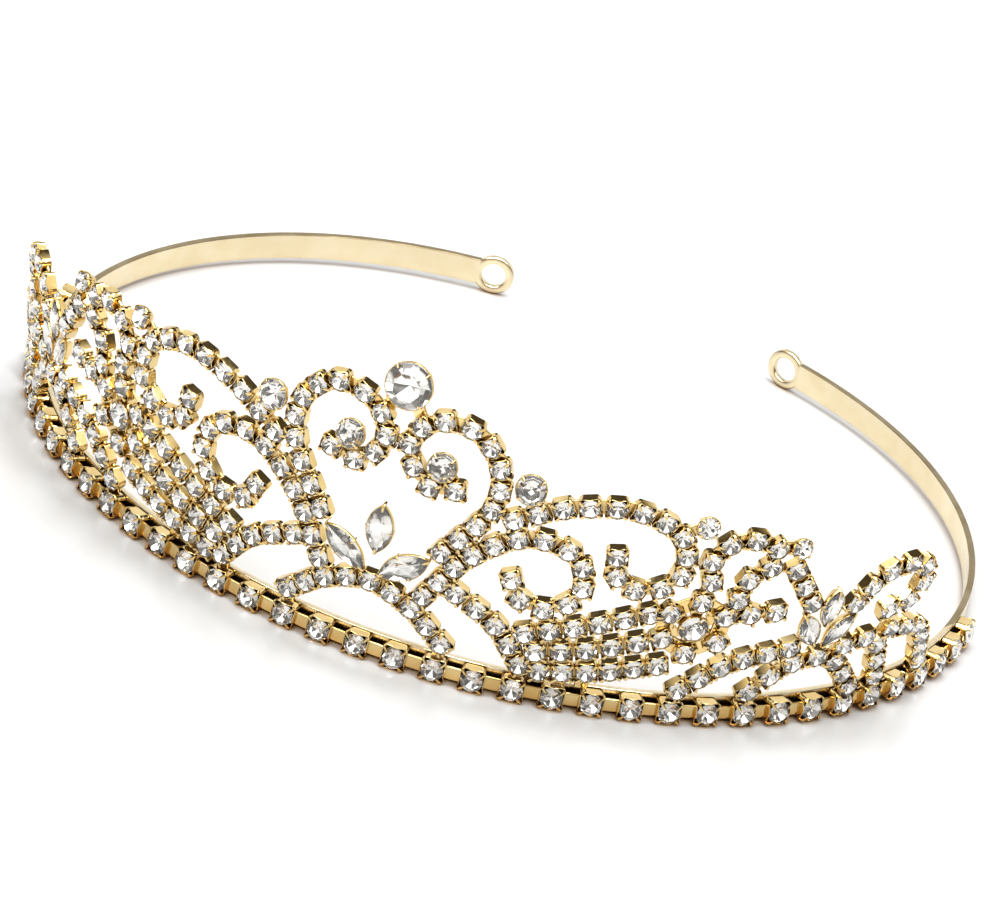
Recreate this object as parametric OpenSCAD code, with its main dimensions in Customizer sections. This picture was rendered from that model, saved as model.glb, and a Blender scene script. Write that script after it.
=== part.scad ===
// Tiara: a flat metal headband with a base row of stones and, above it, a leaning
// panel of stone-set chain strips bent into a heart, scrolls, rays and leaves.
// Millimetres. +X is the wearer's left, +Y is towards the back, +Z is up.
// In the names of parts, left and right are as seen from the front, so right is +X.
// The origin is under the middle of the whole tiara, on the surface it stands on.

/* [Headband] */
// Height of the flat band
band_h = 3.9; // [3.5:0.1:4]
// Thickness of the flat band
band_t = 1.0; // [0.8:0.1:1.2]
// Length of the band from its middle to the centre of the right-hand end ring
band_len_right = 192; // [189:0.5:194]
// Length of the band from its middle to the centre of the left-hand end ring
band_len_left = 190; // [187:0.5:192]
// Outer radius of the ring soldered to each end
ring_r = 2.95; // [2.7:0.05:3.2]
// Radius of the hole in the ring
ring_hole_r = 1.8; // [1.5:0.1:1.9]

/* [Plan of the base row] */
// Bend radius across the forehead
front_r = 75.5; // [74:0.5:78]
// Half the length of the forehead bend
front_len = 55.5; // [52:0.5:58]
// Bend radius round the sides of the head
side_r = 62; // [61:0.5:64]
// Bend radius of the right-hand arm behind the stones
arm_r_right = 66; // [62:0.5:68]
// Bend radius of the left-hand arm behind the stones, which is sprung further in
arm_r_left = 60; // [58:0.5:66]

/* [Base row] */
// Stones on each side of the middle one
row_count = 19; // [17:1:19]
// Distance between neighbouring stones
row_pitch = 5.78; // [5.7:0.01:5.8]
// Diameter of a stone of the row
row_stone_d = 3.3; // [3.2:0.05:3.4]
// Side of the square cup round it
row_cup_w = 3.6; // [3.5:0.05:3.7]
// Depth of that cup from its rim to its back
row_cup_depth = 2.0; // [1.8:0.1:2.2]

/* [Stone chain] */
// Diameter of a small round stone of the panel
stone_d = 3.0; // [2.8:0.05:3.1]
// Side of the square cup round a small stone
cup_w = 3.3; // [3.2:0.05:3.4]
// Depth of a cup of the panel from its rim to its back
cup_depth = 1.6; // [1.5:0.1:2]
// Spacing aimed at along a chain strip
chain_pitch = 3.6; // [3.5:0.05:3.7]

/* [Panel] */
// Outward lean of the panel over the forehead, in degrees
lean_front = 9.5; // [7:0.5:12]
// Outward lean of the panel at its side ends, in degrees
lean_side = 13; // [10:0.5:15]

/* [Large stones] */
// Radius of the round stone at the top
top_stone_r = 3.45; // [3.2:0.05:3.6]
// Upward tilt of the round stones from the panel, in degrees
round_tilt = 18; // [10:1:22]
// Length of a centre navette stone
navette_len = 8.4; // [8:0.1:8.8]
// Width of a centre navette stone
navette_w = 4; // [3.8:0.1:4.2]
// Length of a side navette stone
side_navette_len = 6.6; // [6.2:0.1:7]
// Width of a side navette stone
side_navette_w = 3.3; // [3:0.1:3.5]

/* [Hidden] */

$fn = 48;
gold = [0.85, 0.66, 0.28];
crystal = [0.86, 0.9, 0.94];
degrees = 180 / PI;

// Heights. The rings reach the surface below; the row is centred on the band.
row_z = ring_r;
band_top = row_z + band_h / 2;
panel_lift = row_z - 2;

// The band lies against the backs of the base cups, and the panel stands astride it.
band_back = row_cup_depth + band_t;
panel_set = -0.95;
panel_end = 90;
// The arms begin behind the last stones of the row.
arm_start = 113;
// The band stops inside the circle of the end ring, which it is soldered to.
ring_lap = 0.2 * ring_r;

// Settings. The top cup is deeper, because its stone is.
wall = 0.3;
seat = 1.2;
prong = 0.5;
prong_rise = 0.45;
round_cup_depth = 2;
top_cup_depth = 2.6;
navette_tip = 0.8;

// Metal between the settings. Solder laps run this far under what they hold.
link_w = 1.4;
link_t = 0.8;
bar_w = 2.0;
bar_t = 1.0;
bar_lap = 0.05;
leg_w = 1.4;
leg_back = 2;
tab_lap = 0.6;
tab_back = 1.3;

// How finely curves are followed, and how far a cutter runs past what it cuts.
curve_steps = 12;
band_steps = 90;
slope_step = 0.4;
past = 1;

// A round stone's parts, as shares of its radius.
gem_depth = 0.7;
gem_culet = 0.15;
gem_girdle = 0.12;
gem_table = 0.6;
gem_crown = 0.3;

// A navette stone's depth below its rim, its height above, and its table's share.
navette_depth = 0.9;
navette_rise = 0.45;
navette_table = 0.6;

// Paths of the chain strips of the right-hand side, as [along the panel, up it].
arch_path = [[-11.8, 6.3], [-6.4, 10.8], [0, 13], [6.4, 10.8], [11.8, 6.3]];
heart_path = [[9, 32.8], [4.8, 32.3], [1.7, 37.5], [4.2, 43], [10, 43.7], [14.2, 38.5], [14.2, 31],
    [9, 21.7]];
shoulder_path = [[17.5, 30.7], [24.5, 35], [33, 36.6], [40, 33.2], [41.5, 26], [37, 22.8], [33, 24.6],
    [32.2, 28.1]];
inner_path = [[7.8, 13.5], [13, 22.5], [20, 28.2], [27, 26.8], [28.8, 20.5], [25.2, 16.8], [20.8, 17.5],
    [19.2, 20.5]];
foot_path = [[12.2, 15.6], [18.5, 12], [23.2, 6.2]];
ray_paths = [
    [[22.8, 11.8], [31.2, 15.3], [39, 18.9]],
    [[25, 9], [32, 11], [38.5, 13.5]],
    [[26.2, 5.8], [34.5, 7.5], [42.4, 9.9]]
];
crest_path = [[46, 25.8], [45.2, 29.8], [48, 33.6], [52.8, 33.2], [54.4, 30], [51.4, 27.1], [50.7, 22.8],
    [53.4, 20.2], [56.9, 20.8]];
drop_path = [[57.6, 28.6], [62, 22.3]];
front_swag_path = [[46.6, 5.7], [53, 11], [61.4, 13.8]];
rear_swag_path = [[57.4, 5.7], [62.5, 10.7], [69, 11.2], [75.3, 4.8]];
low_loop_path = [[70.6, 13.4], [76, 13.7], [80.2, 5.6]];
end_loop_path = [[78.5, 15.2], [85, 13.5], [90, 5.6]];
leaf_path = [[69.3, 21.5], [72.5, 26.6], [78, 27.8], [80.6, 24.3], [79.2, 20.4], [76, 19.3]];
// The left-hand leaf is bent a little lower.
left_leaf_path = [[69, 20.8], [71.4, 24.6], [76, 25.6], [79, 22.6], [78, 18.8], [74.8, 17.7]];

// Round stones of the right-hand side: [along, up, stone radius].
accents = [[6.6, 36.2, 2.1], [18.7, 36.7, 2.2], [43, 35.6, 1.6], [57.1, 32.8, 1.45]];
// Where the solder tab of each of those settings ends.
accent_tabs = [[5.6, 32.2], [19.5, 31.8], [40, 33.2], [53, 33.1]];
top_round = [0, 47.7];
top_tabs = [[-3, 42], [3, 42]];

// Flower: a round stone with a ring of small ones.
flower = [45.7, 17.2];
flower_stone_r = 2.1;
petals = 6;
petal_ring = 4.75;

// Navettes, as [along, up, direction in degrees].
navette_up = [0, 22.4, 90];
navette_side = [4.4, 17.3, 38];
side_navettes = [[63.2, 17.3, 121], [65.4, 21.4, 90], [68.1, 16.9, 58]];

// ---- Plan of the band: three tangent arcs on each side; the last is an arm's own ----

join_h = front_len / front_r * degrees;
arm_h = join_h + (arm_start - front_len) / side_r * degrees;

function off(h) = [sin(h), -cos(h)];

side_centre = [0, front_r] + (front_r - side_r) * off(join_h);

function heading(s, arm_r = side_r) =
    s <= front_len ? s / front_r * degrees
    : s <= arm_start ? join_h + (s - front_len) / side_r * degrees
    : arm_h + (s - arm_start) / arm_r * degrees;

function plan(s, arm_r = side_r) =
    let (h = heading(s, arm_r))
    s <= front_len ? [0, front_r] + front_r * off(h)
    : s <= arm_start ? side_centre + side_r * off(h)
    : side_centre + (side_r - arm_r) * off(arm_h) + arm_r * off(h);

// How far back the ring at the end of an arm reaches, measured from the front of the row.
function ring_back(s, arm_r) =
    let (h = heading(s, arm_r))
    plan(s, arm_r)[1] + band_back * cos(h) + ring_r * sin(h) - band_t * cos(h);

// The middle of the object from front to back.
band_reach = max(ring_back(band_len_right, arm_r_right), ring_back(band_len_left, arm_r_left));
top_lean = lean_front + round_tilt;
top_front = top_round[1] * sin(lean_front) + gem_table * top_stone_r * sin(top_lean)
    + gem_crown * top_stone_r * cos(top_lean) + panel_set;
middle_y = (band_reach - top_front) / 2;

// ---- Placing things: x along the row, y up, z outward ----

module on_row(s, z, out, arm_r = side_r) {
    h = heading(s, arm_r);
    p = plan(s, arm_r) + out * off(h);
    translate([p[0], p[1] - middle_y, z]) rotate([90, 0, h]) children();
}

function lean(u) = lean_front + (lean_side - lean_front) * pow(u / panel_end, 2);

// A point below zero along the panel lies on the left-hand side.
module on_panel(u, v, turn) {
    side = u < 0 ? -1 : 1;
    h = side * heading(abs(u));
    tilt = lean(u);
    out = v * sin(tilt) + panel_set;
    p = plan(abs(u)) + out * off(abs(h));
    translate([side * p[0], p[1] - middle_y, v * cos(tilt) + panel_lift]) rotate([90 + tilt, 0, h])
        rotate(turn) children();
}

// ---- Curves through a path's points, with stones spaced evenly along them ----

function knot(p, i) =
    i < 0 ? 2 * p[0] - p[1] : i >= len(p) ? 2 * p[len(p) - 1] - p[len(p) - 2] : p[i];

function bend(p, i, t) =
    let (a = knot(p, i - 1), b = knot(p, i), c = knot(p, i + 1), d = knot(p, i + 2))
    0.5 * (2 * b + (c - a) * t + (2 * a - 5 * b + 4 * c - d) * t * t + (3 * b - a - 3 * c + d) * t * t * t);

function curve(p) =
    [for (i = [0 : len(p) - 2], k = [0 : curve_steps - 1]) bend(p, i, k / curve_steps), p[len(p) - 1]];

// How far along a curve each of its points is.
function lengths(c) =
    [for (i = 0, s = 0; i < len(c); i = i + 1, s = i < len(c) ? s + norm(c[i] - c[i - 1]) : s) s];

function at(c, l, s) = [for (k = [0, 1]) lookup(s, [for (i = [0 : len(c) - 1]) [l[i], c[i][k]]])];

// Every stone of a strip, as [along, up, direction of the strip there].
function places(path) =
    let (c = curve(path), l = lengths(c), total = l[len(l) - 1])
    let (gaps = round(total / chain_pitch), step = total / gaps)
    [for (i = [0 : gaps])
        let (s = i * step, a = at(c, l, max(s - slope_step, 0)), b = at(c, l, min(s + slope_step, total)),
            q = at(c, l, s))
        [q[0], q[1], atan2(b[1] - a[1], b[0] - a[0])]];

// ---- Stones and settings: the rim of a cup lies at z = 0 ----

module round_stone(r) {
    color(crystal)
    rotate_extrude()
    polygon([[0, -gem_depth * r], [gem_culet * r, -gem_depth * r], [r, -gem_girdle * r], [r, 0],
        [gem_table * r, gem_crown * r], [0, gem_crown * r]]);
}

module small_cup(width = cup_w, depth = cup_depth, hole_d = stone_d) {
    difference() {
        translate([-width / 2, -width / 2, -depth]) cube([width, width, depth]);
        translate([0, 0, -seat]) cylinder(d = hole_d, h = depth);
    }
    for (a = [0 : 90 : 270]) rotate(a) translate([width / 2 - prong, width / 2 - prong, -wall])
        cube([prong, prong, wall + prong_rise]);
}

module round_cup(r, depth) {
    difference() {
        translate([0, 0, -depth]) cylinder(r = r + wall, h = depth);
        translate([0, 0, -depth + wall]) cylinder(r = r, h = depth);
    }
    for (a = [45 : 90 : 315]) rotate(a) translate([r, -prong / 2, -wall])
        cube([wall, prong, wall + prong_rise]);
}

// Pointed oval with its points on the x axis.
module navette(length, width) {
    r = (length * length + width * width) / (4 * width);
    intersection() {
        translate([0, r - width / 2]) circle(r);
        translate([0, width / 2 - r]) circle(r);
    }
}

module navette_cup(length, width) {
    difference() {
        translate([0, 0, -cup_depth]) linear_extrude(cup_depth)
            navette(length + navette_tip, width + 2 * wall);
        translate([0, 0, wall - cup_depth]) linear_extrude(cup_depth) navette(length, width);
    }
    for (a = [0, 180]) rotate(a) translate([(length + navette_tip) / 2 - prong, -prong / 2, -wall])
        cube([prong, prong, wall + prong_rise]);
}

module navette_stone(length, width) {
    color(crystal) {
        translate([0, 0, -navette_depth]) linear_extrude(navette_depth) navette(length, width);
        linear_extrude(navette_rise) navette(navette_table * length, navette_table * width);
    }
}

// A flat bar on the panel from one point to another, behind the cups' rims.
module panel_bar(from, to, back = cup_depth) {
    mid = (from + to) / 2;
    run = to - from;
    on_panel(mid[0], mid[1], atan2(run[1], run[0]))
        translate([-norm(run) / 2, -link_w / 2, -back]) cube([norm(run), link_w, link_t]);
}

// A tab from inside the wall of a round cup to a point on a strip.
module tab(centre, r, to) {
    run = to - centre;
    panel_bar(centre + (r + wall - tab_lap) * run / norm(run), to, tab_back);
}

// A leg under the end of a strip, down to the top edge of the band.
module leg(u, v) {
    foot = (band_top - panel_lift) / cos(lean(u));
    on_panel(u, (v + foot) / 2, 90)
        translate([-(v - foot) / 2, -leg_w / 2, -leg_back]) cube([v - foot, leg_w, bar_t]);
}

// The metal of a strip: its cups, the links between them, and legs at the named ends.
module strip(path, leg_ends = []) {
    spots = places(path);
    color(gold) {
        for (s = spots) on_panel(s[0], s[1], s[2]) small_cup();
        for (i = [1 : len(spots) - 1])
            panel_bar([spots[i - 1][0], spots[i - 1][1]], [spots[i][0], spots[i][1]]);
        for (e = leg_ends) leg(path[e][0], path[e][1]);
    }
}

module strip_stones(path) {
    for (s = places(path)) on_panel(s[0], s[1], s[2]) round_stone(stone_d / 2);
}

module left() {
    mirror([1, 0, 0]) children();
}

module both_sides() {
    children();
    left() children();
}

// ---- Headband ----

// The outline of a half of the band, out along one face and back along the other.
function face_points(length, arm_r, out) =
    [for (i = [0 : band_steps]) let (s = length * i / band_steps)
        plan(s, arm_r) + out * off(heading(s, arm_r))];

function back_to_front(points) = [for (i = [len(points) - 1 : -1 : 0]) points[i]];

module half_band(length, arm_r) {
    reach = length - ring_r + ring_lap;
    difference() {
        translate([0, -middle_y, row_z - band_h / 2]) linear_extrude(band_h)
            polygon(concat(face_points(reach, arm_r, -row_cup_depth),
                back_to_front(face_points(reach, arm_r, -band_back))));
        on_row(length, row_z, -band_back - past, arm_r) cylinder(r = ring_r, h = band_t + 2 * past);
    }
}

module headband() {
    color(gold) {
        half_band(band_len_right, arm_r_right);
        left() half_band(band_len_left, arm_r_left);
    }
}

module end_ring(length, arm_r) {
    color(gold) on_row(length, row_z, -band_back, arm_r) difference() {
        cylinder(r = ring_r, h = band_t);
        translate([0, 0, -past]) cylinder(r = ring_hole_r, h = band_t + 2 * past);
    }
}

module end_ring_right() { end_ring(band_len_right, arm_r_right); }
module end_ring_left() { left() end_ring(band_len_left, arm_r_left); }

// ---- Base row ----

module half_row_setting() {
    for (i = [0 : row_count]) on_row(i * row_pitch, row_z, 0)
        small_cup(row_cup_w, row_cup_depth, row_stone_d);
    for (i = [0 : row_count - 1]) on_row((i + 0.5) * row_pitch, row_z, 0)
        translate([-row_pitch / 2, -bar_w / 2, bar_lap - row_cup_depth]) cube([row_pitch, bar_w, bar_t]);
}

module base_row_setting() {
    color(gold) both_sides() half_row_setting();
}

module base_row_stones() {
    for (i = [0 : row_count]) on_row(i * row_pitch, row_z, 0) round_stone(row_stone_d / 2);
    left() for (i = [1 : row_count]) on_row(i * row_pitch, row_z, 0) round_stone(row_stone_d / 2);
}

// ---- Strips of the panel ----

module centre_arch_setting() { strip(arch_path, [0, 4]); }
module centre_arch_stones() { strip_stones(arch_path); }

module heart_scroll_right() { strip(heart_path); }
module heart_scroll_left() { left() heart_scroll_right(); }
module heart_scroll_stones() { both_sides() strip_stones(heart_path); }

module inner_scroll_right() { strip(inner_path); }
module inner_scroll_left() { left() inner_scroll_right(); }
module inner_scroll_stones() { both_sides() strip_stones(inner_path); }

module shoulder_scroll_right() { strip(shoulder_path); }
module shoulder_scroll_left() { left() shoulder_scroll_right(); }
module shoulder_scroll_stones() { both_sides() strip_stones(shoulder_path); }

module foot_strip_right() { strip(foot_path, [2]); }
module foot_strip_left() { left() foot_strip_right(); }
module foot_strip_stones() { both_sides() strip_stones(foot_path); }

module upper_ray_right() { strip(ray_paths[0]); }
module upper_ray_left() { left() upper_ray_right(); }
module middle_ray_right() { strip(ray_paths[1]); }
module middle_ray_left() { left() middle_ray_right(); }
module lower_ray_right() { strip(ray_paths[2], [0]); }
module lower_ray_left() { left() lower_ray_right(); }
module ray_stones() { both_sides() for (p = ray_paths) strip_stones(p); }

module crest_scroll_right() { strip(crest_path); }
module crest_scroll_left() { left() crest_scroll_right(); }
module crest_scroll_stones() { both_sides() strip_stones(crest_path); }

module crest_drop_right() { strip(drop_path); }
module crest_drop_left() { left() crest_drop_right(); }
module crest_drop_stones() { both_sides() strip_stones(drop_path); }

module front_swag_right() { strip(front_swag_path, [0]); }
module front_swag_left() { left() front_swag_right(); }
module front_swag_stones() { both_sides() strip_stones(front_swag_path); }

module rear_swag_right() { strip(rear_swag_path, [0, 3]); }
module rear_swag_left() { left() rear_swag_right(); }
module rear_swag_stones() { both_sides() strip_stones(rear_swag_path); }

module low_loop_right() { strip(low_loop_path, [2]); }
module low_loop_left() { left() low_loop_right(); }
module low_loop_stones() { both_sides() strip_stones(low_loop_path); }

module end_loop_right() { strip(end_loop_path, [2]); }
module end_loop_left() { left() end_loop_right(); }
module end_loop_stones() { both_sides() strip_stones(end_loop_path); }

module leaf_strip_right() { strip(leaf_path); }
module leaf_strip_left() { left() strip(left_leaf_path); }
module leaf_strip_stones() {
    strip_stones(leaf_path);
    left() strip_stones(left_leaf_path);
}

// ---- Flower ----

module on_petal(i) {
    on_panel(flower[0], flower[1], (i + 0.5) * 360 / petals) translate([petal_ring, 0, 0]) children();
}

module flower_setting_right() {
    color(gold) {
        on_panel(flower[0], flower[1], 0) round_cup(flower_stone_r, round_cup_depth);
        for (i = [0 : petals - 1]) {
            on_petal(i) small_cup();
            on_petal(i) translate([-petal_ring, -link_w / 2, -cup_depth]) cube([petal_ring, link_w, link_t]);
        }
    }
}
module flower_setting_left() { left() flower_setting_right(); }

module flower_stones() {
    both_sides() {
        on_panel(flower[0], flower[1], 0) round_stone(flower_stone_r);
        for (i = [0 : petals - 1]) on_petal(i) round_stone(stone_d / 2);
    }
}

// ---- Navettes ----

module on_navette(n) {
    on_panel(n[0], n[1], n[2]) children();
}

module navette_settings() {
    color(gold) {
        on_navette(navette_up) navette_cup(navette_len, navette_w);
        both_sides() {
            on_navette(navette_side) navette_cup(navette_len, navette_w);
            for (n = side_navettes) on_navette(n) navette_cup(side_navette_len, side_navette_w);
        }
    }
}

module navette_stones() {
    on_navette(navette_up) navette_stone(navette_len, navette_w);
    both_sides() {
        on_navette(navette_side) navette_stone(navette_len, navette_w);
        for (n = side_navettes) on_navette(n) navette_stone(side_navette_len, side_navette_w);
    }
}

// ---- Round stones ----

// A setting on the panel that looks a little upwards.
module tilted(spot) {
    on_panel(spot[0], spot[1], 0) rotate([-round_tilt, 0, 0]) children();
}

module top_round_setting() {
    color(gold) {
        tilted(top_round) round_cup(top_stone_r, top_cup_depth);
        for (t = top_tabs) tab(top_round, top_stone_r, t);
    }
}

module top_round_stone() {
    tilted(top_round) round_stone(top_stone_r);
}

module accent_round_settings() {
    color(gold) both_sides() for (i = [0 : len(accents) - 1]) {
        a = accents[i];
        tilted(a) round_cup(a[2], round_cup_depth);
        tab([a[0], a[1]], a[2], accent_tabs[i]);
    }
}

module accent_round_stones() {
    both_sides() for (a = accents) tilted(a) round_stone(a[2]);
}

headband();
end_ring_left();
end_ring_right();
base_row_setting();
base_row_stones();
centre_arch_setting();
centre_arch_stones();
heart_scroll_left();
heart_scroll_right();
heart_scroll_stones();
inner_scroll_left();
inner_scroll_right();
inner_scroll_stones();
shoulder_scroll_left();
shoulder_scroll_right();
shoulder_scroll_stones();
foot_strip_left();
foot_strip_right();
foot_strip_stones();
upper_ray_left();
upper_ray_right();
middle_ray_left();
middle_ray_right();
lower_ray_left();
lower_ray_right();
ray_stones();
flower_setting_left();
flower_setting_right();
flower_stones();
crest_scroll_left();
crest_scroll_right();
crest_scroll_stones();
crest_drop_left();
crest_drop_right();
crest_drop_stones();
front_swag_left();
front_swag_right();
front_swag_stones();
rear_swag_left();
rear_swag_right();
rear_swag_stones();
low_loop_left();
low_loop_right();
low_loop_stones();
end_loop_left();
end_loop_right();
end_loop_stones();
leaf_strip_left();
leaf_strip_right();
leaf_strip_stones();
navette_settings();
navette_stones();
top_round_setting();
top_round_stone();
accent_round_settings();
accent_round_stones();
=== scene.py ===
"""Looks of the stone-set tiara: faceted crystals in claw cups, plated metal and a small studio."""

import math

import bmesh
import bpy
import numpy as np
from mathutils import Matrix, Vector


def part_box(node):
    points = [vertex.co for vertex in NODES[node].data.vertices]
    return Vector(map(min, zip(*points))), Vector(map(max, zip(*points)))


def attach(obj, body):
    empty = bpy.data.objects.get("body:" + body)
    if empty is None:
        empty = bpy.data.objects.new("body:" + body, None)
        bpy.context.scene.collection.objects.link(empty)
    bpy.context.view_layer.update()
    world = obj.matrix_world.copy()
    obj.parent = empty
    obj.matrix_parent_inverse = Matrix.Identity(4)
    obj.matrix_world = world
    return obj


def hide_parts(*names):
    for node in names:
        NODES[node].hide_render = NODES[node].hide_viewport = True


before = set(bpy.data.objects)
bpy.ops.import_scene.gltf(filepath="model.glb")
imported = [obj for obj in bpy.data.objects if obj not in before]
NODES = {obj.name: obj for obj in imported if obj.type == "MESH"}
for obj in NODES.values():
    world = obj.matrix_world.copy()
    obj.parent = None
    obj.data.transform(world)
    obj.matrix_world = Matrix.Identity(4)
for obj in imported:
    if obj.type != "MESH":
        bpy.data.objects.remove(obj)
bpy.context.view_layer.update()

# ---- Sizes in millimetres, as the CAD model has them ----

MM = 0.001
LINK_WIDTH = 2.0
PANEL_LINK_WIDTH = 2.6
ROUND_DEPTH = 2.0
TOP_DEPTH = 2.6
BAND_TOP = 4.9
ARM_START_Y = 5.0
CROWN_SHARE = 0.3
TABLE_SHARE = 0.6
DEPTH_SHARE = 0.66
LARGE_DEPTH_SHARE = 0.5
LARGE_RADIUS = 2.5
NAVETTE_RISE = 0.45
NAVETTE_DEPTH = 0.8
NAVETTE_CORNERS = 12
GIRDLE_EDGE = 0.15

# Bars between cups, and from cups to the band.
LINK_DROP = 0.9
LINK_THICKNESS = 0.5
LINK_OVERLAP = 0.4
NEIGHBOUR_SHARE = 1.25
LEG_THICKNESS = 0.6
LEG_REACH = 3.2
SOLDER_REACH = 3.9
SOLDER_SIZE = 0.75

# Stone radius, half the cup's width and cup depth of the two kinds of chain.
PANEL_CHAIN = (1.5, 1.65, 1.6)
ROW_CHAIN = (1.65, 1.8, 2.0)

# Which stones each setting holds.
STRIPS = ["heart_scroll", "inner_scroll", "shoulder_scroll", "foot_strip", "crest_scroll", "crest_drop",
          "front_swag", "rear_swag", "low_loop", "end_loop", "leaf_strip"]
RAYS = ["upper", "middle", "lower"]
SIDES = ("left", "right")
HOLDS = {f"{name}_{side}": f"{name}_stones" for name in STRIPS for side in SIDES}
HOLDS |= {f"{name}_ray_{side}": "ray_stones" for name in RAYS for side in SIDES}
HOLDS |= {f"flower_setting_{side}": "flower_stones" for side in SIDES}
HOLDS |= {"base_row_setting": "base_row_stones", "centre_arch_setting": "centre_arch_stones"}


# ---- Materials ----

# Painted shade: the brown that crevices of the metal turn to.
PAINTED_CREVICE_SHADE = (0.13, 0.06, 0.014)
# Painted contact shadow and glow: the warm tint of the table beside the metal.
PAINTED_TABLE_SHADE_AND_GLOW = (0.46, 0.31, 0.17)
# Heights (mm) between which the cups turn to a painted warm shade near the table.
PAINTED_FOOT_SHADE_HEIGHTS = (3.6, 1.8)


def new_material(name):
    material = bpy.data.materials.new(name)
    material.use_nodes = True
    nodes = material.node_tree.nodes
    return material, nodes, material.node_tree.links, nodes["Principled BSDF"]


def noise(nodes, links, scale, detail=3.0):
    coords = nodes.new("ShaderNodeTexCoord")
    texture = nodes.new("ShaderNodeTexNoise")
    texture.inputs["Scale"].default_value = scale
    texture.inputs["Detail"].default_value = detail
    links.new(coords.outputs["Object"], texture.inputs["Vector"])
    return texture.outputs["Fac"]


def ramp(nodes, links, factor, stops):
    made = nodes.new("ShaderNodeValToRGB")
    made.color_ramp.elements[0].position, made.color_ramp.elements[0].color = stops[0][0], (*stops[0][1], 1)
    made.color_ramp.elements[1].position, made.color_ramp.elements[1].color = stops[-1][0], (*stops[-1][1], 1)
    for position, colour in stops[1:-1]:
        made.color_ramp.elements.new(position).color = (*colour, 1)
    links.new(factor, made.inputs["Fac"])
    return made.outputs["Color"]


def remap(nodes, links, value, source, target=(0.0, 1.0)):
    """Maps the source range of a value onto the target range, held at its ends."""
    made = nodes.new("ShaderNodeMapRange")
    for name, number in zip(("From Min", "From Max", "To Min", "To Max"), (*source, *target)):
        made.inputs[name].default_value = number
    links.new(value, made.inputs["Value"])
    return made.outputs["Result"]


def spread(nodes, links, factor, low, high):
    return remap(nodes, links, factor, (0.3, 0.7), (low, high))


def blend(nodes, links, factor, first, second):
    """Mixes two colours; the second is a socket or a fixed colour."""
    made = nodes.new("ShaderNodeMix")
    made.data_type = "RGBA"
    links.new(factor, made.inputs["Factor"])
    links.new(first, made.inputs["A"])
    if isinstance(second, tuple):
        made.inputs["B"].default_value = (*second, 1)
    else:
        links.new(second, made.inputs["B"])
    return made.outputs["Result"]


def closeness(nodes, links, reach, samples, low, high):
    """1 where other surfaces within reach (mm) leave less openness than low, and 0 above high."""
    made = nodes.new("ShaderNodeAmbientOcclusion")
    made.samples = samples
    made.inputs["Distance"].default_value = reach * MM
    return ramp(nodes, links, made.outputs["AO"], [(low, (1, 1, 1)), (high, (0, 0, 0))])


def near_table(nodes, links, high, low):
    """Share that grows from 0 at the height high to 1 at the height low, in millimetres."""
    coords = nodes.new("ShaderNodeTexCoord")
    split = nodes.new("ShaderNodeSeparateXYZ")
    links.new(coords.outputs["Object"], split.inputs["Vector"])
    return remap(nodes, links, split.outputs["Z"], (high * MM, low * MM))


def gold(name, tint, deep, rough, grain, bump, crevice_shade, foot=None):
    """Gold plate: two tones in soft patches, painted brown shade in crevices and painted warm shade near the
    table, uneven polish, fine waviness.
    """
    material, nodes, links, shader = new_material(name)
    shader.inputs["Metallic"].default_value = 1.0
    patches = noise(nodes, links, 260.0)
    plate = ramp(nodes, links, patches, [(0.35, deep), (0.65, tint)])
    # Painted shade: near the table the colour turns towards the foot colour, a warm brown.
    if foot:
        plate = blend(nodes, links, near_table(nodes, links, *PAINTED_FOOT_SHADE_HEIGHTS), plate, foot)
    # Painted shade: the colour turns brown where other surfaces close by leave little openness.
    reach, low, high = crevice_shade
    painted_crevice_shade = closeness(nodes, links, reach, 6, low, high)
    links.new(blend(nodes, links, painted_crevice_shade, plate, PAINTED_CREVICE_SHADE), shader.inputs["Base Color"])
    fine = noise(nodes, links, grain, 6.0)
    links.new(spread(nodes, links, fine, *rough), shader.inputs["Roughness"])
    bumps = nodes.new("ShaderNodeBump")
    bumps.inputs["Strength"].default_value = bump
    bumps.inputs["Distance"].default_value = 0.02 * MM
    links.new(noise(nodes, links, grain * 0.6, 2.0), bumps.inputs["Height"])
    links.new(bumps.outputs["Normal"], shader.inputs["Normal"])
    return material


def crystal(name, tint, rough):
    """Clear cut glass with faint polishing haze."""
    material, nodes, links, shader = new_material(name)
    shader.inputs["Transmission Weight"].default_value = 1.0
    shader.inputs["IOR"].default_value = 1.5
    haze = noise(nodes, links, 900.0)
    links.new(ramp(nodes, links, haze, [(0.3, tint), (0.7, (1.0, 1.0, 1.0))]), shader.inputs["Base Color"])
    links.new(spread(nodes, links, haze, 0.0, rough), shader.inputs["Roughness"])
    return material


def foil(name):
    """Silvered back of a stone, seen through it."""
    material, nodes, links, shader = new_material(name)
    shader.inputs["Metallic"].default_value = 0.9
    mottle = noise(nodes, links, 1500.0)
    tones = [(0.3, (0.88, 0.865, 0.83)), (0.7, (0.98, 0.97, 0.95))]
    links.new(ramp(nodes, links, mottle, tones), shader.inputs["Base Color"])
    links.new(spread(nodes, links, mottle, 0.05, 0.11), shader.inputs["Roughness"])
    return material


# Each crevice setting gives the reach (mm) and the openness, low and high, of the painted shade in crevices.
BAND_GOLD = gold("band_gold", tint=(0.82, 0.71, 0.49), deep=(0.78, 0.65, 0.41), rough=(0.16, 0.26),
                 grain=900.0, bump=0.25, crevice_shade=(2.0, 0.25, 0.7))
ARM_TOP_GOLD = gold("arm_top_gold", tint=(0.40, 0.32, 0.19), deep=(0.30, 0.23, 0.12), rough=(0.3, 0.42),
                 grain=1600.0, bump=0.6, crevice_shade=(1.0, 0.15, 0.5))
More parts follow.
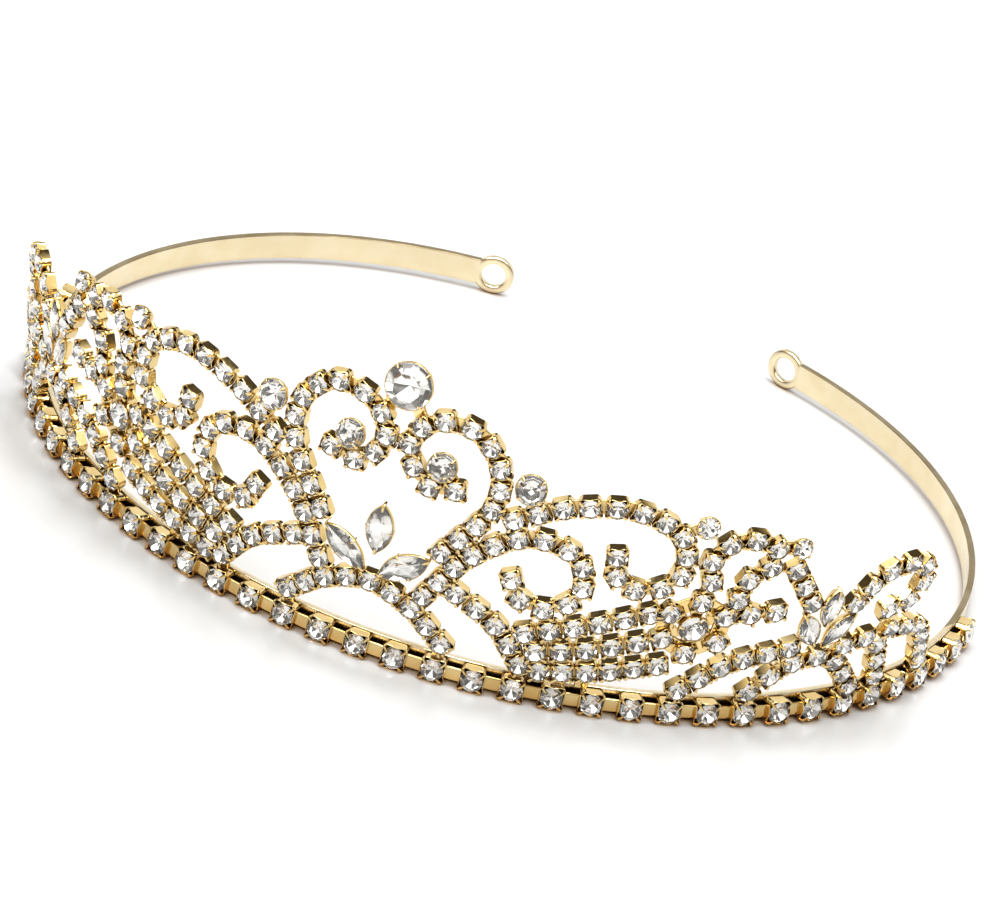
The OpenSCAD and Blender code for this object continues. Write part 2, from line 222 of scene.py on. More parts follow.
# The foot colour is a painted warm shade of the cups near the table.
CUP_GOLD = gold("cup_gold", tint=(0.79, 0.61, 0.29), deep=(0.68, 0.47, 0.17), rough=(0.05, 0.15),
                grain=1400.0, bump=0.35, crevice_shade=(1.3, 0.15, 0.55), foot=(0.62, 0.36, 0.11))
SOLDER_GOLD = gold("solder_gold", tint=(0.84, 0.66, 0.35), deep=(0.75, 0.54, 0.23), rough=(0.14, 0.26),
                   grain=1100.0, bump=0.8, crevice_shade=(1.0, 0.15, 0.5))
CRYSTAL = crystal("clear_crystal", (0.985, 0.975, 0.95), 0.02)
FOIL = foil("silver_foil")


# ---- Mesh building: parts are (points, faces, material numbers), in millimetres ----

def loft(rings, closed=False, caps=False):
    """Skins rings of points that have the same number of points."""
    n = len(rings[0])
    rows = len(rings)
    faces = []
    for a in range(rows if closed else rows - 1):
        b = (a + 1) % rows
        faces += [(a * n + i, a * n + (i + 1) % n, b * n + (i + 1) % n, b * n + i) for i in range(n)]
    if caps:
        faces.append(tuple(range(n - 1, -1, -1)))
        faces.append(tuple((rows - 1) * n + i for i in range(n)))
    return np.concatenate(rings), faces, [0] * len(faces)


def merged(parts):
    points, faces, kinds, start = [], [], [], 0
    for part_points, part_faces, part_kinds in parts:
        points.append(part_points)
        faces += [tuple(start + i for i in face) for face in part_faces]
        kinds += part_kinds
        start += len(part_points)
    return np.concatenate(points), faces, kinds


def placed(part, place):
    points, faces, kinds = part
    return points @ place[:3, :3].T + place[:3, 3], faces, kinds


def turned(part, degrees):
    return placed(part, turn(degrees))


def turn(degrees):
    a = math.radians(degrees)
    place = np.eye(4)
    place[:2, :2] = [[math.cos(a), -math.sin(a)], [math.sin(a), math.cos(a)]]
    return place


def shift(x, y, z):
    place = np.eye(4)
    place[:3, 3] = x, y, z
    return place


def piece(name, part, materials, replaces=(), smooth=None):
    """One finished piece of the tiara, riding on its only body."""
    points, faces, kinds = part
    mesh = bpy.data.meshes.new(name)
    mesh.from_pydata((points * MM).tolist(), [], faces)
    for material in materials:
        mesh.materials.append(material)
    mesh.polygons.foreach_set("material_index", kinds)
    work = bmesh.new()
    work.from_mesh(mesh)
    bmesh.ops.recalc_face_normals(work, faces=work.faces)
    work.to_mesh(mesh)
    work.free()
    made = bpy.data.objects.new(name, mesh)
    bpy.context.scene.collection.objects.link(made)
    if smooth is not None:
        mesh.polygons.foreach_set("use_smooth", [True] * len(mesh.polygons))
        mesh.set_sharp_from_angle(angle=math.radians(smooth))
        made.modifiers.new("flat_faces_stay_flat", "WEIGHTED_NORMAL").keep_sharp = True
    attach(made, "root")
    if replaces:
        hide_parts(*replaces)
    return made


# ---- Reading the CAD frame ----

def islands(node):
    """Each separate solid of a CAD node: its points, and its faces' centres, normals and areas, in mm."""
    work = bmesh.new()
    work.from_mesh(NODES[node].data)
    bmesh.ops.remove_doubles(work, verts=work.verts, dist=1e-7)
    work.verts.ensure_lookup_table()
    seen, found = set(), []
    for first in work.verts:
        if first in seen:
            continue
        group, queue = [], [first]
        seen.add(first)
        while queue:
            vert = queue.pop()
            group.append(vert)
            for edge in vert.link_edges:
                other = edge.other_vert(vert)
                if other not in seen:
                    seen.add(other)
                    queue.append(other)
        faces = {face for vert in group for face in vert.link_faces}
        found.append({
            "points": np.array([v.co for v in group]) / MM,
            "centres": np.array([f.calc_center_median() for f in faces]) / MM,
            "normals": np.array([f.normal for f in faces]),
            "areas": np.array([f.calc_area() for f in faces]) / MM**2,
        })
    work.free()
    return found


def facing(solid):
    """The direction that the largest flat area of a solid faces, pointing away from the head."""
    totals = {}
    for normal, area in zip(solid["normals"], solid["areas"]):
        key = tuple(np.round(normal, 2) + 0.0)
        weight, total = totals.get(key, (np.zeros(3), 0.0))
        totals[key] = (weight + normal * area, total + area)
    axis = max(totals.values(), key=lambda entry: entry[1])[0]
    axis /= np.linalg.norm(axis)
    middle = solid["points"].mean(0)
    return axis if axis[:2] @ middle[:2] > 0 else -axis


def basis(axis, along):
    """Columns x, y, z with z on the axis and x as near as can be to along."""
    x = along - (along @ axis) * axis
    x /= np.linalg.norm(x)
    return np.column_stack([x, np.cross(axis, x), axis])


def extent_middle(points, axes):
    """The middle of the points' extent along each axis."""
    along = points @ axes
    return axes @ ((along.max(0) + along.min(0)) / 2)


class Stone:
    """Where a stone sits: its frame has its rim at z = 0 and z outward."""

    def __init__(self, solid, crown):
        axis = facing(solid)
        axes = basis(axis, np.array([0.0, 0.0, 1.0]))
        flat = (solid["points"] - solid["points"].mean(0)) @ axes[:, :2]
        spins = np.linalg.svd(flat, full_matrices=False)[2]
        self.axes = basis(axis, axes[:, :2] @ spins[0])
        self.set_place(solid["points"], crown)

    def set_place(self, points, crown):
        along = points @ self.axes
        low, high = along.min(0), along.max(0)
        self.length, self.width = high[0] - low[0], high[1] - low[1]
        self.radius = self.width / 2
        rim = high[2] - (crown if crown else CROWN_SHARE * self.radius)
        self.centre = self.axes @ np.array([(high[0] + low[0]) / 2, (high[1] + low[1]) / 2, rim])

    @property
    def place(self):
        made = np.eye(4)
        made[:3, :3], made[:3, 3] = self.axes, self.centre
        return made

    def sits_in(self, solid):
        """Whether the solid has this stone's round seat."""
        away = solid["points"] - self.centre
        height = away @ self.axes[:, 2]
        across = np.linalg.norm(away - height[:, None] * self.axes[:, 2], axis=1)
        return np.sum((np.abs(across - self.radius) < 0.03) & (np.abs(height) < 1.3)) > 8

    def square_to(self, solid, half):
        """Turns the frame so that x and y face the walls of its cup."""
        away = solid["centres"] - self.centre
        flat = np.abs(solid["normals"] @ self.axes[:, 2]) < 0.05
        reach = np.einsum("ij,ij->i", away, solid["normals"])
        wall = flat & (np.abs(reach - half) < 0.03) & (np.linalg.norm(away, axis=1) < 2.8)
        normals = solid["normals"][wall] @ self.axes
        angles = np.arctan2(normals[:, 1], normals[:, 0])
        turn_by = np.angle(np.sum(solid["areas"][wall] * np.exp(4j * angles))) / 4
        self.axes = basis(self.axes[:, 2], self.axes[:, :2] @ [math.cos(turn_by), math.sin(turn_by)])


def stones_in(node, crown=None):
    return [Stone(solid, crown) for solid in islands(node)]


# ---- Crystals ----

def ring(radius, z, count, start=0.0):
    angles = np.radians(start) + np.arange(count) * 2 * math.pi / count
    return np.column_stack([radius * np.cos(angles), radius * np.sin(angles), np.full(count, z)])


def cut_stone(radius, depth):
    """A chaton with an octagonal table, eight crown facets and eight foiled facets that meet in a point."""
    # The girdle and the back's edge dip between facets, so that every facet is flat.
    chord = math.cos(math.pi / 8)
    dip = CROWN_SHARE * (1 - chord) / (chord * (1 - TABLE_SHARE))
    edge = GIRDLE_EDGE
    rise = (depth - edge) * (1 - chord) / chord
    table = ring(TABLE_SHARE * radius, CROWN_SHARE * radius, 8)
    girdle = ring(radius, 0.0, 16)
    girdle[1::2, 2] = -dip * radius
    belt = ring(radius, -edge * radius, 16)
    belt[::2, 2] = (rise - edge) * radius
    points = np.concatenate([table, girdle, belt, [[0.0, 0.0, -depth * radius]]])
    g, b, culet = 8, 24, 40
    clear, back = [tuple(range(8))], []
    for i in range(8):
        clear.append((i, g + 2 * i, g + 2 * i + 1, g + (2 * i + 2) % 16, (i + 1) % 8))
        back.append((culet, b + (2 * i + 3) % 16, b + (2 * i + 2) % 16, b + 2 * i + 1))
    clear += [(g + i, b + i, b + (i + 1) % 16, g + (i + 1) % 16) for i in range(16)]
    return points, clear + back, [0] * len(clear) + [1] * len(back)


def navette_outline(length, width, count=16):
    """Points round a pointed oval whose points lie on the x axis."""
    radius = (length**2 + width**2) / (4 * width)
    half = math.asin(length / (2 * radius))
    arc = np.linspace(half, -half, count // 2 + 1)[:-1]
    upper = np.column_stack([radius * np.sin(arc), radius * (np.cos(arc) - 1) + width / 2])
    return np.concatenate([upper, -upper])


def flat_ring(outline, z):
    return np.column_stack([outline, np.full(len(outline), z)])


def navette_stone(length, width):
    """A navette: a pointed table, long crown facets and a shallow keel below."""
    n = NAVETTE_CORNERS
    table = flat_ring(navette_outline(0.5 * length, 0.46 * width, n), NAVETTE_RISE)
    girdle = flat_ring(navette_outline(length, width, n), 0.0)
    belt = flat_ring(navette_outline(length, width, n), -0.14)
    keel = np.array([[-0.09 * length, 0.0, 0.1 - NAVETTE_DEPTH], [0.09 * length, 0.0, 0.1 - NAVETTE_DEPTH]])
    points = np.concatenate([table, girdle, belt, keel])
    clear, back = [tuple(range(n))], []
    for i in range(n):
        j = (i + 1) % n
        clear += [(i, n + i, j), (j, n + i, n + j), (n + i, 2 * n + i, 2 * n + j, n + j)]
        ends = [3 * n + (1 if points[2 * n + k, 0] > 0 else 0) for k in (i, j)]
        back.append((2 * n + j, 2 * n + i, ends[0]))
        if ends[0] != ends[1]:
            back.append((2 * n + j, ends[0], ends[1]))
    return points, clear + back, [0] * len(clear) + [1] * len(back)


def own_turn(stone):
    """A turn from 0 to 45 degrees that differs from stone to stone and follows its place."""
    value = math.sin(stone.centre @ np.array([12.9898, 78.233, 37.719])) * 43758.5453
    return 45.0 * (value - math.floor(value))


# ---- Cups, claws and links ----

CUP_CORNER = 0.7
CORNER_STEPS = 4
CUP_WALL = 0.13
CUP_TAPER = 0.06


def square_ring(half, corner, height, lift=0.0):
    """Ring round a square with rounded corners; lift raises it towards the corners."""
    points = []
    for k in range(4):
        for step in range(CORNER_STEPS + 1):
            a = math.radians(90 * k + 90 * step / CORNER_STEPS)
            middle = math.radians(90 * k + 45)
            reach = math.sqrt(2) * (half - corner)
            x = reach * math.cos(middle) + corner * math.cos(a)
            y = reach * math.sin(middle) + corner * math.sin(a)
            points.append((x, y, height + lift * abs(math.sin(2 * math.atan2(y, x))) ** 2))
        a = math.radians(90 * k + 90)
        points.append((half * math.cos(a), half * math.sin(a), height))
    return np.array(points)


def circle_like(outline, radius, height):
    """Ring of the given radius with a point at the same bearing as each point of the outline."""
    bearing = np.arctan2(outline[:, 1], outline[:, 0])
    heights = np.full(len(outline), height)
    return np.column_stack([radius * np.cos(bearing), radius * np.sin(bearing), heights])


def with_corner_claws(body, one):
    """The body with one claw towards each corner of its frame."""
    return merged([body, *(turned(one, 45 + 90 * k) for k in range(4))])


def claw(path, widths, thickness):
    """A claw that follows a path of (reach, height) points in the x, z plane and tapers."""
    path = np.array(path, float)
    slopes = np.gradient(path, axis=0)
    slopes /= np.linalg.norm(slopes, axis=1)[:, None]
    angles = np.arange(8) * math.pi / 4 + math.pi / 8
    rings = []
    for (x, z), (dx, dz), width, thick in zip(path, slopes, widths, thickness):
        across, up = np.sin(angles) * width / 2, np.cos(angles) * thick / 2
        rings.append(np.column_stack([x - dz * up, across, z + dx * up]))
    return loft(rings, caps=True)


def small_cup(chain):
    """A thin square cup that tapers to the back; its rim dips at the corners, where the claws stand."""
    radius, half, depth = chain
    corner = CUP_CORNER
    outer = square_ring(half, corner, 0.0)
    inner = half - CUP_WALL
    rings = [
        circle_like(outer, 0.75, -depth),
        square_ring(half - CUP_TAPER - 0.1, corner, -depth),
        square_ring(half - CUP_TAPER, corner, 0.08 - depth),
        square_ring(half, corner, -0.3, -0.25),
        square_ring(half, corner, 0.04, -0.42),
        square_ring(half - 0.04, corner, 0.09, -0.42),
        square_ring(inner + 0.03, corner, 0.09, -0.42),
        square_ring(inner, corner, 0.02, -0.42),
        square_ring(inner, corner, -0.55),
        circle_like(outer, 0.95, -0.65 * depth),
        circle_like(outer, 0.75, -0.7 * depth),
    ]
    body = loft(rings, closed=True)
    edge = math.sqrt(2) * (half - corner) + corner
    crown = CROWN_SHARE * radius
    path = [(edge - 0.12, -0.9), (edge - 0.02, -0.4), (edge + 0.0, -0.05), (edge - 0.08, 0.16),
            (radius + 0.08, 0.28), (radius - 0.14, crown * 0.55 + 0.08), (radius - 0.34, crown * 0.8 + 0.04)]
    one = claw(path, [0.8, 0.72, 0.6, 0.5, 0.42, 0.32, 0.14], [0.22, 0.22, 0.22, 0.22, 0.2, 0.15, 0.07])
    return with_corner_claws(body, one)


def round_cup(radius, depth):
    """A thin cup for a larger round stone, its rim just below the stone's widest part, with four claws."""
    outer = radius + 0.16
    profile = [
        (radius * 0.5, -depth), (radius * 0.6, -depth), (radius * 0.64, 0.08 - depth), (outer - 0.1, -0.9),
        (outer, -0.6), (outer, -0.22), (outer - 0.04, -0.16), (radius + 0.03, -0.16), (radius + 0.01, -0.22),
        (radius - 0.1, -0.7), (radius * 0.6, -0.72 * depth), (radius * 0.5, -0.76 * depth),
    ]
    body = loft([ring(r, z, 48) for r, z in profile], closed=True)
    edge = radius + 0.12
    crown = CROWN_SHARE * radius
    rise = min(crown, 0.4)
    slope = radius * (1 - TABLE_SHARE) / crown
    path = [(edge, -0.8), (edge + 0.04, -0.3), (edge + 0.02, 0.04), (edge - 0.14, 0.16),
            (radius - 0.4 * rise * slope, 0.4 * rise + 0.08),
            (radius - 0.8 * rise * slope, 0.8 * rise + 0.05)]
    one = claw(path, [0.62, 0.56, 0.5, 0.44, 0.34, 0.14], [0.2, 0.2, 0.2, 0.18, 0.15, 0.07])
    return with_corner_claws(body, one)


def navette_cup(length, width):
    """A thin boat-shaped cup with a claw at each point and one on each side."""
    def band_ring(extra, z):
        return flat_ring(navette_outline(length + 2.2 * extra, width + 2 * extra, 40), z)
    wall, depth = 0.16, PANEL_CHAIN[2]
    rings = [band_ring(-1.2, -depth), band_ring(-0.9, -depth), band_ring(-0.82, 0.08 - depth),
             band_ring(wall - 0.08, -0.55), band_ring(wall, -0.4), band_ring(wall, -0.1),
             band_ring(wall - 0.04, -0.04), band_ring(0.04, -0.04), band_ring(0.0, -0.1),
             band_ring(-0.06, -0.6), band_ring(-0.9, -1.2), band_ring(-1.2, -1.3)]
    body = loft(rings, closed=True)
    tip, side = length / 2 + 0.1, width / 2 + 0.07
    tip_path = [(tip, -0.9), (tip + 0.05, -0.2), (tip - 0.02, 0.12), (tip - 0.35, 0.3), (tip - 0.8, 0.36),
                (tip - 1.05, 0.34)]
    side_path = [(side, -0.9), (side + 0.04, -0.2), (side, 0.1), (side - 0.2, 0.28), (side - 0.45, 0.34),
                 (side - 0.6, 0.33)]
    tip_claw = claw(tip_path, [0.44, 0.46, 0.5, 0.42, 0.3, 0.12], [0.26, 0.24, 0.22, 0.19, 0.15, 0.07])
    side_claw = claw(side_path, [0.3, 0.3, 0.28, 0.26, 0.22, 0.1], [0.2, 0.2, 0.18, 0.16, 0.13, 0.06])
    tips = [turned(tip_claw, degrees) for degrees in (0, 180)]
    sides = [turned(side_claw, degrees) for degrees in (90, 270)]
    return merged([body, *tips, *sides])


def bar(length, width, thickness):
    """A flat bar along x with well rounded edges, its middle at the origin."""
    rounding = 0.42 * min(width, thickness)
    section = []
    for k, (sy, sz) in enumerate([(1, 1), (-1, 1), (-1, -1), (1, -1)]):
        for step in range(4):
            a = math.radians(90 * k + 30 * step)
            section.append((sy * (width / 2 - rounding) + rounding * math.cos(a),
                            sz * (thickness / 2 - rounding) + rounding * math.sin(a)))
    section = np.array(section)
    stations = np.linspace(-length / 2, length / 2, 5)
    return loft([np.column_stack([np.full(len(section), x), section]) for x in stations], caps=True)


def between(a, b, axis, drop):
    """Place for a bar that joins two points, lowered against the axis; also gives its length."""
    run = b - a
    place = np.eye(4)
    place[:3, :3] = basis(axis, run)
    place[:3, 3] = (a + b) / 2 - axis * drop
    return place, np.linalg.norm(run)


def strip_metal(solids, stones, chain):
    """Cups for the small stones of a setting, links between neighbours, and legs down to the band."""
    parts = []
    cup = small_cup(chain)
    _, half, depth = chain
    for solid in solids:
        low, high = solid["points"].min(0) - 0.5, solid["points"].max(0) + 0.5
        held = [s for s in stones if (s.centre > low).all() and (s.centre < high).all() and s.sits_in(solid)]
        for stone in held:
            stone.square_to(solid, half)
            parts.append(placed(cup, stone.place))
        spots = np.array([s.centre for s in held])
        gaps = np.linalg.norm(spots[:, None] - spots[None], axis=2) + 99 * np.eye(len(spots))
        pitch = np.median(gaps.min(1))
        for i, j in zip(*np.where(np.triu(gaps < NEIGHBOUR_SHARE * pitch))):
            axis = held[i].axes[:, 2] + held[j].axes[:, 2]
            axis /= np.linalg.norm(axis)
            place, length = between(spots[i], spots[j], axis, LINK_DROP)
            width = LINK_WIDTH if chain == ROW_CHAIN else PANEL_LINK_WIDTH
            parts.append(placed(bar(length - 2 * half + LINK_OVERLAP, width, LINK_THICKNESS), place))
        if chain == PANEL_CHAIN:
            parts += [leg(stone, depth) for stone in held if drop_to_band(stone) < LEG_REACH]
    return merged(parts)


def down_panel(stone):
    axis = stone.axes[:, 2]
    down = axis * axis[2] - [0.0, 0.0, 1.0]
    return down / np.linalg.norm(down)


def drop_to_band(stone):
    """How far a stone's centre is from the height of the band's top, down along the panel."""
    return (stone.centre[2] - BAND_TOP) / -down_panel(stone)[2]


def leg(stone, depth):
    """A bar from a cup's lower side to the band's top."""
    start = stone.centre + down_panel(stone) * 1.2
    foot = stone.centre + down_panel(stone) * (drop_to_band(stone) + 0.2)
    place, length = between(start, foot, stone.axes[:, 2], depth - 0.4)
    return placed(bar(length, LINK_WIDTH, LEG_THICKNESS), place)


def tab(stone, other):
    """A bar from the edge of a round stone's cup to the cup next to it."""
    place, length = between(stone.centre, other.centre, other.axes[:, 2], 1.1)
    start, end = stone.radius, length - 1.3
    middle = shift((start + end - length) / 2, 0, 0)
    return placed(bar(max(end - start, 0.5), LINK_WIDTH, LEG_THICKNESS), place @ middle)


def blob(size):
    """A drop of solder, flattened along z."""
    heights = [(-0.9, 0.45), (-0.6, 0.8), (0.0, 1.0), (0.6, 0.8), (0.9, 0.45)]
    return loft([ring(size * r, 0.55 * size * z, 12) for z, r in heights], caps=True)


def solder(stones, reach):
    """Drops of solder between cups of different strips that nearly touch."""
    parts = []
    for i, (name, a) in enumerate(stones):
        for other_name, b in stones[i + 1:]:
            gap = np.linalg.norm(a.centre - b.centre)
            if name != other_name and gap < reach:
                axis = a.axes[:, 2] + b.axes[:, 2]
                place = between(a.centre, b.centre, axis / np.linalg.norm(axis), LINK_DROP)[0]
                parts.append(placed(blob(SOLDER_SIZE), place))
    return parts


# ---- The tiara ----

def make_strips():
    for setting, stones_node in HOLDS.items():
        chain = ROW_CHAIN if setting == "base_row_setting" else PANEL_CHAIN
        stones = [s for s in STONES[stones_node] if abs(s.radius - chain[0]) < 0.05]
        if setting.endswith("_left"):
            stones = [s for s in stones if s.centre[0] < 0]
        if setting.endswith("_right"):
            stones = [s for s in stones if s.centre[0] > 0]
        metal = [strip_metal(islands(setting), stones, chain)]
        if setting.startswith("flower"):
            side = -1 if setting.endswith("_left") else 1
            hub = next(s for s in STONES[stones_node] if s.radius > 1.6 and s.centre[0] * side > 0)
            metal.append(placed(round_cup(hub.radius, ROUND_DEPTH), hub.place))
            metal += [tab(hub, petal) for petal in stones]
        piece(setting + "_metal", merged(metal), [CUP_GOLD], [setting], smooth=35)


def make_crystals():
    for node, stones in STONES.items():
        parts = []
        for stone in stones:
            if "navette" in node:
                parts.append(placed(navette_stone(stone.length, stone.width), stone.place))
            else:
                spin = stone.place @ turn(own_turn(stone))
                depth = LARGE_DEPTH_SHARE if stone.radius > LARGE_RADIUS else DEPTH_SHARE
                parts.append(placed(cut_stone(stone.radius, depth), spin))
        piece(node + "_cut", merged(parts), [CRYSTAL, FOIL], [node])


def upright(stone):
    """The stone's frame with y turned up the panel."""
    stone.axes = basis(stone.axes[:, 2], np.cross([0.0, 0.0, 1.0], stone.axes[:, 2]))
    return stone.place


def small_stones():
    """Every small stone of the panel with its node's name and side."""
    return [((node, s.centre[0] > 0), s) for node, stones in STONES.items() for s in stones
            if abs(s.radius - PANEL_CHAIN[0]) < 0.03 and "navette" not in node]


def tabs_to_nearest(stone, count):
    near = sorted((s for _, s in small_stones()), key=lambda s: np.linalg.norm(s.centre - stone.centre))
    return [tab(stone, other) for other in near[:count]]


def make_round_settings():
    top = STONES["top_round_stone"][0]
    top_parts = [placed(round_cup(top.radius, TOP_DEPTH), upright(top)), *tabs_to_nearest(top, 2)]
    piece("top_round_setting_metal", merged(top_parts), [CUP_GOLD], ["top_round_setting"], smooth=35)
    accents = []
    for stone in STONES["accent_round_stones"]:
        accents += [placed(round_cup(stone.radius, ROUND_DEPTH), upright(stone)), *tabs_to_nearest(stone, 1)]
    piece("accent_round_settings_metal", merged(accents), [CUP_GOLD], ["accent_round_settings"],
          smooth=35)
    boats = [placed(navette_cup(s.length, s.width), s.place) for s in STONES["navette_stones"]]
    piece("navette_settings_metal", merged(boats), [CUP_GOLD], ["navette_settings"], smooth=35)


def make_solder():
    drops = solder(small_stones(), SOLDER_REACH)
    piece("solder_drops", merged(drops), [SOLDER_GOLD], smooth=60)


def outline_of(node):
    """The rim of a CAD node's top face, in order, in millimetres."""
    work = bmesh.new()
    work.from_mesh(NODES[node].data)
    bmesh.ops.remove_doubles(work, verts=work.verts, dist=1e-7)
    rim = [e for e in work.edges if sum(f.normal.z > 0.9 for f in e.link_faces) == 1]
    links = {}
    for edge in rim:
        for vert in edge.verts:
            links.setdefault(vert, []).append(edge)
    first = rim[0].verts[0]
    order, vert, edge = [first], first, rim[0]
    while True:
        vert = edge.other_vert(vert)
        if vert == first:
            break
        order.append(vert)
        edge = next(e for e in links[vert] if e != edge)
    points = np.array([v.co for v in order]) / MM
    work.free()
    return points[:, :2]


def bevelled_prism(outline, low, high, bevel):
    """An upright prism of the outline with rounded rims, made as one lofted skin."""
    work = bmesh.new()
    base = [work.verts.new((x, y, low)) for x, y in outline]
    face = work.faces.new(base)
    top = bmesh.ops.extrude_face_region(work, geom=[face])
    bmesh.ops.translate(work, vec=(0, 0, high - low), verts=[v for v in top["geom"] if hasattr(v, "co")])
    bmesh.ops.recalc_face_normals(work, faces=work.faces)
    sharp = [e for e in work.edges if len(e.link_faces) == 2 and e.calc_face_angle() > math.radians(40)]
    bmesh.ops.bevel(work, geom=sharp, offset=bevel, segments=3, profile=0.5, affect="EDGES")
    bmesh.ops.triangulate(work, faces=[f for f in work.faces if len(f.verts) > 4])
    work.verts.index_update()
    points = np.array([v.co for v in work.verts])
    faces = [tuple(v.index for v in f.verts) for f in work.faces]
    work.free()
    return points, faces, [0] * len(faces)


def make_band():
    low, high = (np.array(c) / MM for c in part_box("headband"))
    points, faces, kinds = bevelled_prism(outline_of("headband"), low[2], high[2], 0.14)
    # The top face of the bare arms is given a darker, rougher gold than the polished faces.
    for number, face in enumerate(faces):
        corner = points[list(face)]
        if corner[:, 2].min() > high[2] - 0.1 and corner[:, 1].mean() > ARM_START_Y:
            kinds[number] = 1
    piece("headband_metal", (points, faces, kinds), [BAND_GOLD, ARM_TOP_GOLD], ["headband"], smooth=30)


def make_end_rings():
    for side in ("left", "right"):
        node = f"end_ring_{side}"
        solid = islands(node)[0]
        axis = facing(solid)
        axes = basis(axis, np.array([0.0, 0.0, 1.0]))
        centre = extent_middle(solid["points"], axes)
        away = (solid["points"] - centre) @ axes
        reach = np.hypot(away[:, 0], away[:, 1])
        outer, hole, half, soft = reach.max(), reach.min(), np.abs(away[:, 2]).max(), 0.16
        section = [(hole + soft, half), (outer - soft, half), (outer, half - soft), (outer, soft - half),
                   (outer - soft, -half), (hole + soft, -half), (hole, soft - half), (hole, half - soft)]
        place = np.eye(4)
        place[:3, :3], place[:3, 3] = axes, centre
        body = loft([ring(r, z, 64) for r, z in section], closed=True)
        piece(node + "_metal", placed(body, place), [BAND_GOLD], [node], smooth=50)


# ---- Studio ----

AZIMUTH, ELEVATION, ROLL = (math.radians(a) for a in (12.978, 27.045, 14.407))
DISTANCE = 2.878
AIM = Vector((-0.0001, 0.0131, 0.00095))
AIM_RIGHT, AIM_UP = -0.00266, 0.00127
FOCAL_SHARE = 19.98
WORLD_STRENGTH = 1.18
FLOOR_REACH = 6.0
LIT_SPOT = (0, 0, 0.02)


def make_camera():
    back = Vector((math.sin(AZIMUTH) * math.cos(ELEVATION), -math.cos(AZIMUTH) * math.cos(ELEVATION),
                   math.sin(ELEVATION)))
    level = Vector((math.cos(AZIMUTH), math.sin(AZIMUTH), 0))
    rise = back.cross(level)
    right = level * math.cos(ROLL) + rise * math.sin(ROLL)
    up = rise * math.cos(ROLL) - level * math.sin(ROLL)
    data = bpy.data.cameras.new("camera")
    data.sensor_width = 36.0
    data.lens = FOCAL_SHARE * data.sensor_width
    data.clip_start, data.clip_end = 0.5, 20.0
    camera = bpy.data.objects.new("camera", data)
    bpy.context.scene.collection.objects.link(camera)
    turn_to = Matrix([right, up, back]).transposed().to_4x4()
    place = AIM + right * AIM_RIGHT + up * AIM_UP + back * DISTANCE
    camera.matrix_world = Matrix.Translation(place) @ turn_to
    bpy.context.scene.camera = camera


def make_floor():
    material, nodes, links, shader = new_material("studio_floor")
    shader.inputs["Roughness"].default_value = 0.25
    shader.inputs["Specular IOR Level"].default_value = 0.5
    paper = noise(nodes, links, 40.0)
    tone = ramp(nodes, links, paper, [(0.3, (0.56, 0.56, 0.56)), (0.7, (0.58, 0.58, 0.58))])
    # A painted warm shade stands in for the contact shadow and the glow of the metal on the table close by.
    painted_table_shade_and_glow = closeness(nodes, links, 1.6, 8, 0.3, 0.75)
    links.new(blend(nodes, links, painted_table_shade_and_glow, tone, PAINTED_TABLE_SHADE_AND_GLOW), shader.inputs["Base Color"])
    # The tiara stands on its end rings and on the front of the base row, so the table dips to the back.
    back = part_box("end_ring_left")
    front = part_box("base_row_setting")
    rear_y, front_y = (back[0][1] + back[1][1]) / 2, front[0][1] + MM
    slope = (front[0][2] - back[0][2]) / (front_y - rear_y)
    mesh = bpy.data.meshes.new("floor")
    reach = FLOOR_REACH
    height = {y: back[0][2] + slope * (y - rear_y) - 0.02 * MM for y in (-reach, reach)}
    mesh.from_pydata([(-reach, -reach, height[-reach]), (reach, -reach, height[-reach]),
                      (reach, reach, height[reach]), (-reach, reach, height[reach])], [], [(0, 1, 2, 3)])
    mesh.materials.append(material)
    floor = bpy.data.objects.new("floor", mesh)
    bpy.context.scene.collection.objects.link(floor)


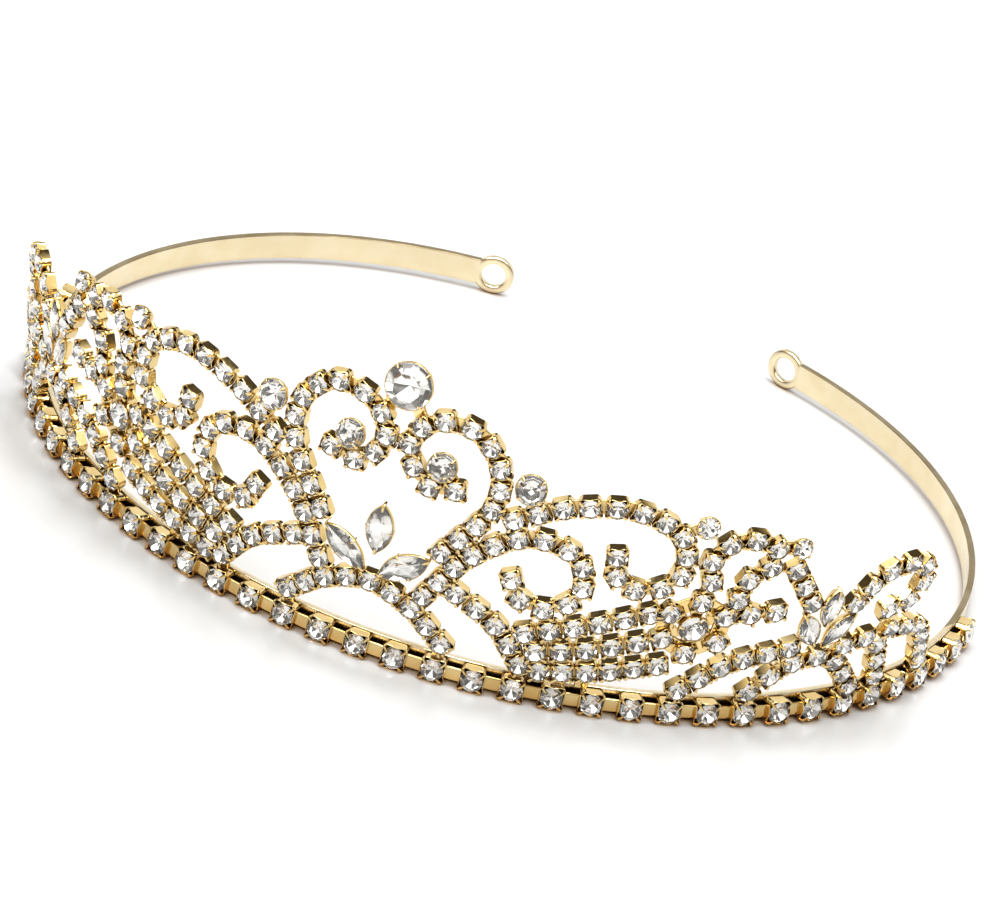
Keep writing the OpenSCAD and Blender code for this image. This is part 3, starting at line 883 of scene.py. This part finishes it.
def softbox(name, place, width, height, power):
    """A rectangular lamp aimed at the tiara, in metres and watts."""
    data = bpy.data.lights.new(name, "AREA")
    data.shape = "RECTANGLE"
    data.size, data.size_y = width, height
    data.energy = power
    lamp = bpy.data.objects.new(name, data)
    bpy.context.scene.collection.objects.link(lamp)
    lamp.location = place
    lamp.rotation_euler = (Vector(LIT_SPOT) - Vector(place)).to_track_quat("-Z", "Y").to_euler()


def make_world():
    """A dark room with a bright ceiling and, behind the tiara, a low white backdrop."""
    world = bpy.data.worlds.new("studio")
    bpy.context.scene.world = world
    world.use_nodes = True
    nodes, links = world.node_tree.nodes, world.node_tree.links
    coords = nodes.new("ShaderNodeTexCoord")
    split = nodes.new("ShaderNodeSeparateXYZ")
    links.new(coords.outputs["Generated"], split.inputs["Vector"])
    dark = (0.07, 0.062, 0.052)
    ceiling, zenith, white = (1.1, 1.1, 1.1), (1.4, 1.4, 1.4), (1.0, 1.0, 1.0)
    front = [(0.0, (0.6, 0.6, 0.6)), (0.1, (0.25, 0.24, 0.22)), (0.2, dark), (0.48, dark), (0.6, ceiling),
             (1.0, zenith)]
    behind = [(0.0, white), (0.5, white), (0.58, dark), (0.8, dark), (0.88, ceiling), (1.0, zenith)]
    side = remap(nodes, links, split.outputs["Y"], (0.25, 0.45))
    before, after = (ramp(nodes, links, split.outputs["Z"], stops) for stops in (front, behind))
    links.new(blend(nodes, links, side, before, after), nodes["Background"].inputs["Color"])
    nodes["Background"].inputs["Strength"].default_value = WORLD_STRENGTH


def make_lights():
    softbox("key", (0.05, 0.1, 1.1), 0.7, 0.6, 9)
    softbox("front", (-0.15, -0.9, 0.8), 0.8, 0.4, 5)
    softbox("left", (-0.6, -0.5, 0.9), 0.3, 0.6, 3.5)
    softbox("right", (0.6, -0.4, 0.9), 0.2, 0.5, 3)


STONES = {node: stones_in(node, NAVETTE_RISE if "navette" in node else None)
          for node in NODES if node.endswith(("stones", "stone"))}

make_camera()
make_floor()
make_world()
make_lights()
make_round_settings()
make_strips()
make_crystals()
make_solder()
make_band()
make_end_rings()

bpy.context.scene.view_settings.view_transform = "Standard"
